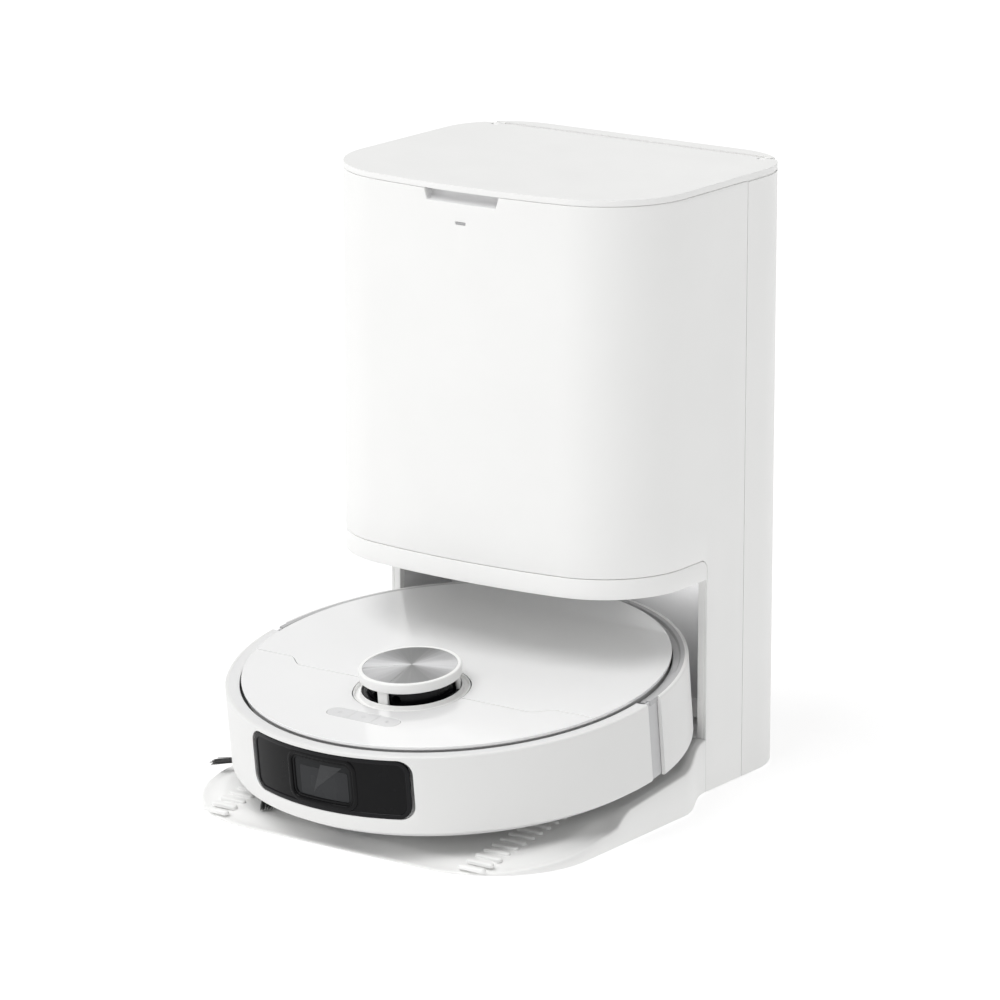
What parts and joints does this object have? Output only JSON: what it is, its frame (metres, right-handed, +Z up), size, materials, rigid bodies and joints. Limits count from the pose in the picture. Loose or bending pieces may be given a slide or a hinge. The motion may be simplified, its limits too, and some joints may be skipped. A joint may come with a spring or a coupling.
{
  "type": "robot vacuum with base station",
  "caption": "Round mopping robot vacuum with a laser turret and a sprung bumper, parked nose-down in its upright pad-washing base station with lidded water tanks.",
  "frame": {"origin": "centre of the footprint on the floor, with the robot docked", "axes": "+Z up, -Y towards the robot's nose and the station's front, +X to the right seen from the front"},
  "size_m": [0.35, 0.4221, 0.472],
  "materials": {
    "satin_white": "satin moulded plastic",
    "gloss_white": "gloss moulded plastic",
    "trim_grey": "fine matt",
    "bay_grey": "matt",
    "dark_plastic": "matt",
    "mid_plastic": "matt",
    "black_gloss": "piano gloss",
    "brushed_disc": "turned and brushed",
    "steel": "brushed",
    "contact_metal": "polished",
    "clear_tank": "smoked clear plastic",
    "dark_tank": "smoked clear plastic",
    "rubber_black": "matt",
    "tyre_rubber": "matt tread",
    "brush_rubber": "matt",
    "bristle": "fine filament",
    "mop_cloth": "looped microfibre",
    "circuit_board": "solder mask",
    "psu_metal": "plain",
    "lens_white": "diffusing"
  },
  "bodies": {
    "station": {"tray": "satin_white", "washboard": "bay_grey", "outer_skin": "satin_white", "rear_shell": "satin_white", "trim_frame": "satin_white", "bay_liner": "bay_grey", "tank_tub": "trim_grey", "hinge_pins": "steel", "clean_tank": "clear_tank", "clean_tank_cap": "trim_grey", "dirty_tank": "dark_tank", "dirty_tank_cap": "mid_plastic", "status_lens": "lens_white", "charging_contacts": "contact_metal", "pumps": "mid_plastic", "dryer_fan": "dark_plastic", "station_board": "circuit_board", "power_supply": "psu_metal", "power_inlet": "dark_plastic", "rubber_feet": "rubber_black", "hoses": "brush_rubber"},
    "station_lid": {"lid": "satin_white"},
    "clean_tank_bail": {"clean_tank_handle": "satin_white"},
    "dirty_tank_bail": {"dirty_tank_handle": "satin_white"},
    "robot": {"chassis": "trim_grey", "side_shell": "trim_grey", "top_plate": "gloss_white", "turret_base": "satin_white", "camera_module": "dark_plastic", "dust_bin": "clear_tank", "fan_motor": "dark_plastic", "battery": "dark_plastic", "robot_board": "circuit_board", "brush_guard": "mid_plastic", "robot_contacts": "contact_metal"},
    "bumper_shell": {"bumper": "satin_white", "bumper_window": "black_gloss"},
    "cover": {"rear_cover": "gloss_white"},
    "turret": {"turret_cap": "satin_white", "cap_disc": "brushed_disc"},
    "lidar": {"lidar_rotor": "black_gloss"},
    "key_left": {"button_left": "gloss_white"},
    "key_centre": {"button_centre": "gloss_white"},
    "key_right": {"button_right": "gloss_white"},
    "suspension_left": {"wheel_arm_left": "dark_plastic"},
    "suspension_right": {"wheel_arm_right": "dark_plastic"},
    "drive_wheel_left": {"wheel_left": "mid_plastic", "tyre_left": "tyre_rubber"},
    "drive_wheel_right": {"wheel_right": "mid_plastic", "tyre_right": "tyre_rubber"},
    "caster_swivel": {"caster_fork": "dark_plastic"},
    "caster_roller": {"caster_wheel": "mid_plastic"},
    "roller_brush": {"main_brush": "brush_rubber"},
    "edge_brush": {"side_brush": "mid_plastic", "side_bristles": "bristle"},
    "mop_lifter": {"mop_carriage": "mid_plastic"},
    "mop_left": {"mop_plate_left": "mid_plastic", "mop_pad_left": "mop_cloth"},
    "mop_right": {"mop_plate_right": "mid_plastic", "mop_pad_right": "mop_cloth"}
  },
  "joints": [
    {"name": "robot_undock", "type": "slide", "parent": "station", "child": "robot", "axis": [0, -1, 0], "range_m": [0, 0.4]},
    {"name": "lid_hinge", "type": "hinge", "parent": "station", "child": "station_lid", "pos_m": [0, 0.19, 0.4665], "axis": [-1, 0, 0], "range_deg": [0, 86]},
    {"name": "clean_tank_handle_hinge", "type": "hinge", "parent": "station", "child": "clean_tank_bail", "pos_m": [-0.072, 0.067, 0.411], "axis": [-1, 0, 0], "range_deg": [0, 90]},
    {"name": "dirty_tank_handle_hinge", "type": "hinge", "parent": "station", "child": "dirty_tank_bail", "pos_m": [0.072, 0.067, 0.411], "axis": [-1, 0, 0], "range_deg": [0, 90]},
    {"name": "bumper_press", "type": "slide", "parent": "robot", "child": "bumper_shell", "axis": [0, 0.9925, 0.1219], "range_m": [0, 0.003], "stiffness_N_per_m": 400, "springref_m": -0.002},
    {"name": "rear_cover_lift", "type": "slide", "parent": "robot", "child": "cover", "axis": [0, -0.1219, 0.9925], "range_m": [0, 0.03]},
    {"name": "turret_cap_press", "type": "slide", "parent": "robot", "child": "turret", "axis": [0, 0.1219, -0.9925], "range_m": [0, 0.0012], "stiffness_N_per_m": 1500, "springref_m": -0.001},
    {"name": "lidar_spin", "type": "hinge", "parent": "robot", "child": "lidar", "pos_m": [0, -0.0946, 0.10256], "axis": [0, -0.1219, 0.9925], "continuous": true},
    {"name": "left_button_press", "type": "slide", "parent": "robot", "child": "key_left", "axis": [0, 0.1219, -0.9925], "range_m": [0, 0.0006], "stiffness_N_per_m": 600, "springref_m": -0.0003},
    {"name": "centre_button_press", "type": "slide", "parent": "robot", "child": "key_centre", "axis": [0, 0.1219, -0.9925], "range_m": [0, 0.0006], "stiffness_N_per_m": 600, "springref_m": -0.0003},
    {"name": "right_button_press", "type": "slide", "parent": "robot", "child": "key_right", "axis": [0, 0.1219, -0.9925], "range_m": [0, 0.0006], "stiffness_N_per_m": 600, "springref_m": -0.0003},
    {"name": "left_suspension", "type": "hinge", "parent": "robot", "child": "suspension_left", "pos_m": [-0.1035, -0.07044, 0.07731], "axis": [1, 0, 0], "range_deg": [0, 12]},
    {"name": "right_suspension", "type": "hinge", "parent": "robot", "child": "suspension_right", "pos_m": [0.1035, -0.07044, 0.07731], "axis": [1, 0, 0], "range_deg": [0, 12]},
    {"name": "left_wheel_roll", "type": "hinge", "parent": "suspension_left", "child": "drive_wheel_left", "pos_m": [-0.12, -0.03017, 0.0611], "axis": [1, 0, 0], "continuous": true},
    {"name": "right_wheel_roll", "type": "hinge", "parent": "suspension_right", "child": "drive_wheel_right", "pos_m": [0.12, -0.03017, 0.0611], "axis": [1, 0, 0], "continuous": true},
    {"name": "caster_swivel_turn", "type": "hinge", "parent": "robot", "child": "caster_swivel", "pos_m": [0, -0.16602, 0.04341], "axis": [0, -0.1219, 0.9925], "continuous": true},
    {"name": "caster_wheel_roll", "type": "hinge", "parent": "caster_swivel", "child": "caster_roller", "pos_m": [0, -0.15819, 0.02473], "axis": [1, 0, 0], "continuous": true},
    {"name": "main_brush_spin", "type": "hinge", "parent": "robot", "child": "roller_brush", "pos_m": [0, -0.04855, 0.04675], "axis": [1, 0, 0], "continuous": true},
    {"name": "side_brush_spin", "type": "hinge", "parent": "robot", "child": "edge_brush", "pos_m": [-0.112, -0.11694, 0.02929], "axis": [0, -0.1219, 0.9925], "continuous": true},
    {"name": "mop_lift", "type": "slide", "parent": "robot", "child": "mop_lifter", "axis": [0, -0.1219, 0.9925], "range_m": [0, 0.007]},
    {"name": "mop_left_spin", "type": "hinge", "parent": "mop_lifter", "child": "mop_left", "pos_m": [-0.064, 0.05256, 0.06018], "axis": [0, -0.1219, 0.9925], "continuous": true},
    {"name": "mop_right_spin", "type": "hinge", "parent": "mop_lifter", "child": "mop_right", "pos_m": [0.064, 0.05256, 0.06018], "axis": [0, -0.1219, 0.9925], "continuous": true}
  ],
  "couplings": [
    {"joint": "mop_right_spin", "follows": "mop_left_spin", "ratio": -1}
  ]
}
